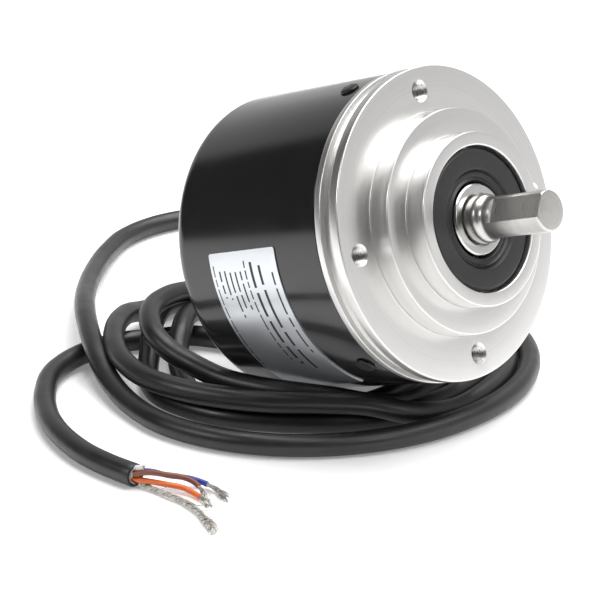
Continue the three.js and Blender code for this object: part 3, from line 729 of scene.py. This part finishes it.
def screw(name, matrix, head, height, shank, length, material, slot, stands_for):
    made = lathe(name, [
        (0, -length), (shank, -length, 0.3), (shank, 0), (head, 0, 0.15), (head, height * 0.7, height * 0.6),
        (head * 0.55, height * 1.02, 0.2), (0, height * 1.05),
    ], 48, matrix, "Z")
    depth = height * 0.9
    recess = cross_cutter(head * 0.3, head * 1.2, depth, height * 1.06)
    wings = [mesh_object("cutter", *data, matrix) for data in recess]
    return place(boolean(made, wings), material, slot, "housing", stands_for)


for i, angle in enumerate(SCREW_ANGLES, 1):
    screw(f"cover_screw_{i}_pan_head", outwards(angle, COVER_RADIUS + 0.1, SCREW_X), 2.4, 0.75, 1.4, 5,
          BLACK_SCREW, "black_screw", f"cover_screw_{i}")

# ---- Foil label with generic printed bars ----
LABEL = {"start": -82, "end": -151, "back": -45.2, "front": -22.2}
LABEL_OUTER = COVER_RADIUS + 0.3


def bent_patch(r0, r1, a0, a1, x0, x1, steps, corner=0.0):
    """A closed thin patch bent round the shaft's axis, as points and faces."""
    verts, faces = [], []
    for i in range(steps + 1):
        t = i / steps
        a = radians(a0 + (a1 - a0) * t)
        from_end = min(t, 1 - t) * abs(radians(a1 - a0)) * r1
        trim = corner - sqrt(max(0, corner**2 - (corner - from_end) ** 2)) if from_end < corner else 0
        for r, x in ((r0, x0 + trim), (r1, x0 + trim), (r1, x1 - trim), (r0, x1 - trim)):
            verts.append((x, r * sin(a), r * cos(a)))
    for i in range(steps):
        for k in range(4):
            n = (k + 1) % 4
            faces.append((4 * i + k, 4 * i + n, 4 * i + 4 + n, 4 * i + 4 + k))
    faces += [(0, 1, 2, 3), tuple(4 * steps + k for k in (3, 2, 1, 0))]
    return verts, faces


label = mesh_object("foil_label", *bent_patch(
    COVER_RADIUS + 0.06, LABEL_OUTER, LABEL["start"], LABEL["end"], LABEL["back"], LABEL["front"], 160, 0.5))
place(label, LABEL_FOIL, "label_foil", "housing", "rating_label")

# Rows run round the cover: station of the row, height, where it starts and ends along the arc, mean bar length.
PRINT_ROWS = (
    (-24.2, 1.3, 6, 29, 1.3), (-28.3, 1.9, 4, 36, 1.9), (-31.1, 2.0, 3, 33, 1.9), (-33.3, 1.0, 2.5, 31, 0.9),
    (-35.1, 1.2, 5, 14.5, 1.2), (-36.9, 1.2, 5, 15, 1.2), (-38.7, 1.2, 5, 16.5, 1.2), (-40.5, 1.2, 4.5, 11.5, 1.2),
    (-42.3, 1.2, 4.5, 11, 1.2), (-44.2, 0.8, 3, 32, 0.8),
)


def printed_rows():
    """Plain bars in word-like groups, which spell nothing."""
    rng = random.Random(8)
    verts, faces = [], []
    for x, height, start, stop, mean in PRINT_ROWS:
        u = start
        while u < stop:
            length = min(mean * rng.uniform(1.6, 5.5), stop - u + 0.4)
            angles = [LABEL["start"] - (v / COVER_RADIUS) * 180 / pi for v in (u, u + length)]
            thick = 0.42 * height
            v, f = bent_patch(LABEL_OUTER - 0.02, LABEL_OUTER + 0.015, *angles, x - thick / 2, x + thick / 2, 6)
            faces += [tuple(n + len(verts) for n in face) for face in f]
            verts += v
            u += length + 0.7 * mean
    return verts, faces


place(mesh_object("label_printed_bars", *printed_rows()), PRINT_INK, "black_plastic")

# ---- Shaft with its flat ----
FLAT_ANGLE, FLAT_DISTANCE, FLAT_START, SHAFT_TIP = -57, 4, 17, 32
shaft = lathe("drive_shaft_ground", [
    (0, -43), (4, -43, 0.4), (4, -34, 0.1), (6, -34, 0.3), (6, 12.9, 0.8), (5, 14.4, 0.8), (5, 32, 0.6), (0, 32),
], 160)
flat_size = (SHAFT_TIP - FLAT_START + 2, 14, 6)
flat_middle = ((SHAFT_TIP + FLAT_START + 2) / 2, 0, FLAT_DISTANCE + 3)
flat = mesh_object("cutter", *box_data(flat_size, flat_middle), TO_ROW @ Matrix.Rotation(-radians(FLAT_ANGLE), 4, "X"))
place(bevelled(boolean(shaft, [flat]), 0.12), SHAFT_STEEL, "shaft_steel", "rotor", "drive_shaft")

# ---- Turned inner and front pieces: name, material, slot, body, node, profile ----
def race(inner, outer, x, width, circle, ball, outer_ring):
    """A bearing ring with its ball groove."""
    side = outer if not outer_ring else inner
    other = inner if not outer_ring else outer
    middle, points = x + width / 2, []
    reach = sqrt(max(0.01, ball**2 - (side - circle) ** 2))
    for k in range(9):
        h = -reach + 2 * reach * k / 8
        depth = sqrt(max(0, ball**2 - h**2))
        points.append((circle + (depth if outer_ring else -depth), middle + h))
    return [(other, x, 0.5), (side, x, 0.2), *points, (side, x + width, 0.2), (other, x + width, 0.5)]


BALL_CIRCLE, BALL_RADIUS, GROOVE = 10.9, 1.9, 2.4
FRONT_X, REAR_X, WIDTH = -4.2, -29.5, 10
TURNED = [
    ("shaft_seal_moulded", SEAL_RUBBER, "seal_rubber", "housing", "shaft_seal", [
        (9.2, 7), (17.4, 7), (17.4, 9.6, 0.1), (16.6, 10.3, 0.25), (12.2, 10.3, 0.25), (11.7, 9.3, 0.15),
        (11.3, 9.75, 0.15), (10.9, 9.2, 0.15), (10.3, 9.1, 0.15), (9.7, 9.7, 0.15), (9.2, 8.9, 0.1)]),
    ("seal_sleeve_turned", STEEL, "steel", "rotor", "seal_sleeve", [
        (6.1, 6.2, 0.1), (8.8, 6.2, 0.1), (8.8, 9.5, 0.1), (8.4, 9.9, 0.1), (6.55, 9.9, 0.1), (6.5, 8.6), (6.1, 8.6)]),
    ("bearing_spacer_turned", STEEL, "steel", "rotor", "bearing_spacer", [
        (6.3, -19.2, 0.2), (8, -19.2, 0.3), (8, -4.5, 0.3), (6.3, -4.5, 0.2)]),
    ("disc_hub_turned", BRASS, "brass", "rotor", "disc_hub", [
        (4.1, -40.5, 0.2), (7.5, -40.5, 0.3), (7.5, -36.7, 0.1), (11, -36.7, 0.2), (11, -34.6, 0.3), (4.1, -34.6, 0.2)]),
    ("disc_clamp_turned", STEEL, "steel", "rotor", "disc_clamp_ring", [
        (7.8, -40, 0.15), (10.5, -40, 0.25), (10.5, -38.3, 0.1), (7.8, -38.3, 0.1)]),
    ("code_disc_glass", CODED_GLASS, "glass", "rotor", "code_disc", [
        (7.8, -38, 0.1), (27, -38, 0.15), (27, -37, 0.15), (7.8, -37, 0.1)]),
    ("preload_washer_turned", STEEL, "steel", "housing", "preload_washer", [
        (14.6, 6.15, 0.05), (15.8, 6.15, 0.05), (15.8, 6.45, 0.05), (14.6, 6.45, 0.05)]),
    ("bearing_retaining_clip", STEEL, "steel", "housing", "bearing_retaining_ring", [
        (13.6, -31, 0.2), (15.9, -31, 0.2), (15.9, -30, 0.2), (13.6, -30, 0.2)]),
    ("cover_o_ring", SEAL_RUBBER, "seal_rubber", "housing", "cover_sealing_ring", [
        (35.95 + 0.65 * cos(k * pi / 8), -9.5 + 0.65 * sin(k * pi / 8)) for k in range(16)]),
]
for x, prefix in ((FRONT_X, "front"), (REAR_X, "rear")):
    TURNED.append((f"{prefix}_outer_race", STEEL, "steel", "housing", f"{prefix}_bearing_outer_ring",
                   race(13.2, 16, x, WIDTH, BALL_CIRCLE, GROOVE, True)))
    TURNED.append((f"{prefix}_inner_race", STEEL, "steel", "rotor", f"{prefix}_bearing_inner_ring",
                   race(6.1, 8.6, x, WIDTH, BALL_CIRCLE, GROOVE, False)))
for name, material, slot, body, node, profile in TURNED:
    place(lathe(name, profile, 128), material, slot, body, node)

BALLS = 9
for x, prefix in ((FRONT_X, "front"), (REAR_X, "rear")):
    middle = x + WIDTH / 2
    pieces = [ring(f"{prefix}_cage_ring", BALL_CIRCLE - 0.5, BALL_CIRCLE + 0.5, middle - 2.3, middle + 2.3)]
    half = 9
    arc = [(BALL_RADIUS * sin(pi * k / half), -BALL_RADIUS * cos(pi * k / half)) for k in range(half + 1)]
    arc[0], arc[-1] = (0, -BALL_RADIUS), (0, BALL_RADIUS)
    for k in range(BALLS):
        matrix = along_shaft(k * 360 / BALLS, BALL_CIRCLE, middle)
        pieces.append(lathe("ball", arc, 18, matrix, "Z"))
    cage = joined(f"{prefix}_balls_in_cage", pieces)
    place(cage, STEEL, "steel", f"{prefix}_balls", f"{prefix}_ball_cage")

# ---- Optical head, circuit board and its fittings ----
place(lathe("hub_set_screw_socket", [(0, 0), (0.95, 0, 0.1), (0.95, 3.2, 0.15), (0.45, 3.2), (0.45, 2.2), (0, 2.1)],
            24, outwards(0, 4.2, -39.4), "Z"), BLACK_SCREW, "black_screw", "rotor", "hub_set_screw")
place(block("light_source_body", (8, 9, 7), (-29.4, 0, 24.4), edge=0.4), CHIP_PLASTIC, "black_plastic", "housing",
      "light_source")
place(block("mask_plate_glass", (0.8, 12, 8), (-34.4, 0, 23.4), edge=0.1), CODED_GLASS, "glass", "housing",
      "mask_plate")
place(block("light_sensor_body", (2.6, 8, 6), (-40.2, 0, 23), edge=0.25), CHIP_PLASTIC, "black_plastic", "housing",
      "light_sensor")

POST_CIRCLE, POST_ANGLES, BOARD_X, BOARD_THICK = 31.6, (30, 150, 270), -43.4, 1.6
board = lathe("circuit_board_etched", [
    (7, BOARD_X, 0.1), (34, BOARD_X, 0.15), (34, BOARD_X + BOARD_THICK, 0.15), (7, BOARD_X + BOARD_THICK, 0.1)], 128)
cutters = [cylinder_cutter(1.2, -2, 3, along_shaft(a, POST_CIRCLE, BOARD_X)) for a in POST_ANGLES]
place(boolean(board, cutters), BOARD_GREEN, "circuit_green", "housing", "circuit_board")
POST_START = BOARD_X + BOARD_THICK + 0.3
POST_LENGTH = -17.3 - POST_START
for i, angle in enumerate(POST_ANGLES, 1):
    post = lathe("post", [
        (1.2, 0, 0.15), (2.2, 0, 0.25), (2.2, POST_LENGTH, 0.25), (0, POST_LENGTH), (0, 8), (1.2, 8)], 6,
                 along_shaft(angle, POST_CIRCLE, POST_START), "Z")
    post.name = f"board_standoff_{i}_hex"
    place(post, BRASS, "brass", "housing", f"board_standoff_{i}")
    back = along_shaft(angle, POST_CIRCLE, BOARD_X - 0.3) @ Matrix.Rotation(pi, 4, "Y")
    screw(f"board_screw_{i}_pan_head", back, 2, 1.3, 0.9, 5, SPOT_STEEL, "steel", f"board_screw_{i}")

CHIP_Y, CHIP_Z, LEGS_A_SIDE, LEG_PITCH = -14, -12, 6, 1.35
chip_parts = [block("chip", (2, 9, 6), (BOARD_X - 1.3, CHIP_Y, CHIP_Z), edge=0.2)]
for side in (-1, 1):
    for k in range(LEGS_A_SIDE):
        leg_at = (BOARD_X - 0.55, CHIP_Y + LEG_PITCH * (k - 2.5), CHIP_Z + side * 3.35)
        chip_parts.append(block("leg", (0.5, 0.5, 0.9), leg_at, edge=0.08))
for part, material in zip(chip_parts, [CHIP_PLASTIC] + [TINNED] * 2 * LEGS_A_SIDE):
    part.data.materials.append(material)
place(joined("line_driver_with_legs", chip_parts), None, "black_plastic", "housing", "line_driver_chip")
place(lathe("capacitor_can", [
    (0, BOARD_X - 6.7), (1.9, BOARD_X - 6.7, 0.1), (2.1, BOARD_X - 6.45, 0.1), (3.2, BOARD_X - 6.6, 0.4),
    (3.2, BOARD_X - 1.6, 0.2), (2.9, BOARD_X - 1.2, 0.2), (3.2, BOARD_X - 0.9, 0.2), (3.2, BOARD_X - 0.3, 0.2), (0, BOARD_X - 0.3)], 48,
    TO_ROW @ Matrix.Translation(Vector((0, -20, 8)) * MM)), CHIP_PLASTIC, "black_plastic", "housing", "capacitor")
terminal = block("wire_terminal_body", (6, 6, 14), (BOARD_X - 3.3, 14, 0), edge=0.3)
cutters = []
WAYS, WAY_PITCH = 5, 2.7
for k in range(WAYS):
    way = WAY_PITCH * (k - 2)
    cutters.append(mesh_object("cutter", *box_data((2.2, 2.2, 1.9), (BOARD_X - 3.2, 17, way))))
    clamp_at = TO_ROW @ Matrix.Translation(Vector((BOARD_X - 6.3, 14, way)) * MM)
    cutters.append(cylinder_cutter(0.8, -2, 1.2, clamp_at @ Matrix.Rotation(-pi / 2, 4, "Y"), 16))
place(boolean(terminal, cutters), TERMINAL_PLASTIC, "black_plastic", "housing", "wire_terminal")
lead_path = curved([(-46.7, 17.4, 0), (-47.5, 21, 0), (-48, 26, 1), (-47, 31, 1), (-46.5, 34, 0)], 8)
rotate = TO_ROW.to_3x3()
leads = tube("inner_leads_bundle", [[FLANGE_FACE / MM + rotate @ p for p in lead_path]], 1.6, PVC, 5)
place(leads, None, "cable_jacket", "housing", "inner_leads")

# ---- Cable gland and ribbed bend relief on the side away from the label ----
gland = lathe("cable_gland_domed", [
    (0, 34.8), (4.6, 34.8, 0.3), (4.9, 36.5), (4.9, 38.7), (7.6, 38.7, 0.3), (7.6, 40.6, 0.2), (7.3, 40.8, 0.1),
    (7.3, 41.2, 0.1), (7.6, 41.4, 0.2), (7.6, 43.4, 0.9), (6.4, 44.75, 0.5), (0, 44.8)], 72, outwards(EXIT_ANGLE, 0, EXIT_X), "Z")
FLAT_CUTTER_AT = (9.05, 0, 40)
flats = [
    mesh_object("cutter", *box_data((4, 16, 2.6), FLAT_CUTTER_AT),
                outwards(EXIT_ANGLE, 0, EXIT_X) @ Matrix.Rotation(k * pi / 3, 4, "Z"))
    for k in range(6)
]
place(bevelled(boolean(gland, flats), 0.12), GLAND_NYLON, "black_plastic", "housing", "cable_gland")
RIBS, RELIEF_LENGTH, RELIEF_START = 5, 24, 45.1
relief_profile = [(0, RELIEF_START)]
for k in range(RIBS):
    r, z = 5.6 - 1.7 * k / RIBS, RELIEF_START + RELIEF_LENGTH * k / RIBS
    next_rib = z + RELIEF_LENGTH / RIBS - 0.1
    relief_profile += [(r, z, 0.35), (r, z + 3.3, 0.4), (r - 0.75, z + 3.4, 0.2), (r - 0.75, next_rib, 0.2)]
relief_profile += [(3.4, RELIEF_START + RELIEF_LENGTH, 0.3), (0, RELIEF_START + RELIEF_LENGTH)]
relief = lathe("bend_relief_ribbed", relief_profile, 64, outwards(EXIT_ANGLE, 0, EXIT_X), "Z")
place(relief, SEAL_RUBBER, "seal_rubber", "housing", "bend_relief")
cord_pieces += [gland, relief]

# ---- Floor and studio light ----
floor_mesh = bpy.data.meshes.new("floor")
HALF = 3.0
floor_mesh.from_pydata([(-HALF, -HALF, 0), (HALF, -HALF, 0), (HALF, HALF, 0), (-HALF, HALF, 0)], [], [(0, 1, 2, 3)])
floor = link(bpy.data.objects.new("floor", floor_mesh))
# The floor's paper also glows faintly (emission strength 0.2): painted light that lifts the shadows falling on it.
paper = Surface("pale_paper_glowing", (0.93, 0.93, 0.93), 0.7, Emission_Strength=0.2)
paper.tint(paper.noise(paper.object_xyz(), 3, 2), (0.92, 0.92, 0.92), (0.94, 0.94, 0.94))
paper.bump(paper.noise(paper.object_xyz(), 400, 2), 0.02, 0.1)
floor_mesh.materials.append(paper.material)


def softbox(name, at, size, watts, aim=(0, 0, 0.04), color=(1, 1, 1)):
    data = bpy.data.lights.new(name, "AREA")
    data.shape, data.size, data.size_y, data.energy, data.color = "RECTANGLE", *size, watts, color
    lamp = link(bpy.data.objects.new(name, data))
    lamp.location = at
    lamp.rotation_euler = (Vector(aim) - Vector(at)).to_track_quat("-Z", "Y").to_euler()


softbox("top_softbox", (0.1, 0.35, 1.3), (1.6, 1.4), 30)
softbox("right_softbox", (1.3, -0.1, 1.0), (0.5, 0.4), 3)
softbox("left_softbox", (-0.5, -1.2, 0.9), (0.5, 0.3), 5)

# The studio's back half is a white sweep and its front half is dark; what the camera sees past the floor is pale.
world = bpy.data.worlds.new("studio")
bpy.context.scene.world = world
world.use_nodes = True
nodes, links = world.node_tree.nodes, world.node_tree.links
split = nodes.new("ShaderNodeSeparateXYZ")
links.new(nodes.new("ShaderNodeTexCoord").outputs["Generated"], split.inputs[0])


def studio_ramp(value, stops):
    made = nodes.new("ShaderNodeValToRGB")
    links.new(value, made.inputs[0])
    while len(made.color_ramp.elements) < len(stops):
        made.color_ramp.elements.new(0.5)
    for element, (at, shade) in zip(made.color_ramp.elements, stops):
        element.position, element.color = at, (shade, shade, shade, 1)
    return made.outputs[0]


shifted = nodes.new("ShaderNodeMath")
shifted.operation = "MULTIPLY_ADD"
links.new(split.outputs[1], shifted.inputs[0])
shifted.inputs[1].default_value, shifted.inputs[2].default_value = 0.5, 0.5
back_to_front = studio_ramp(shifted.outputs[0], ((0.0, 0.08), (0.46, 0.04), (0.52, 0.66), (1.0, 0.78)))
fade = studio_ramp(split.outputs[2], ((0.0, 1), (0.25, 0.9), (0.6, 0.45), (1.0, 0.45)))
product = nodes.new("ShaderNodeMixRGB")
product.blend_type = "MULTIPLY"
product.inputs[0].default_value = 1
links.new(back_to_front, product.inputs[1])
links.new(fade, product.inputs[2])
seen = nodes.new("ShaderNodeMixRGB")
links.new(nodes.new("ShaderNodeLightPath").outputs["Is Camera Ray"], seen.inputs[0])
links.new(product.outputs[0], seen.inputs[1])
seen.inputs[2].default_value = (0.95, 0.95, 0.95, 1)
links.new(seen.outputs[0], nodes["Background"].inputs[0])
bpy.context.scene.view_settings.view_transform = "Standard"
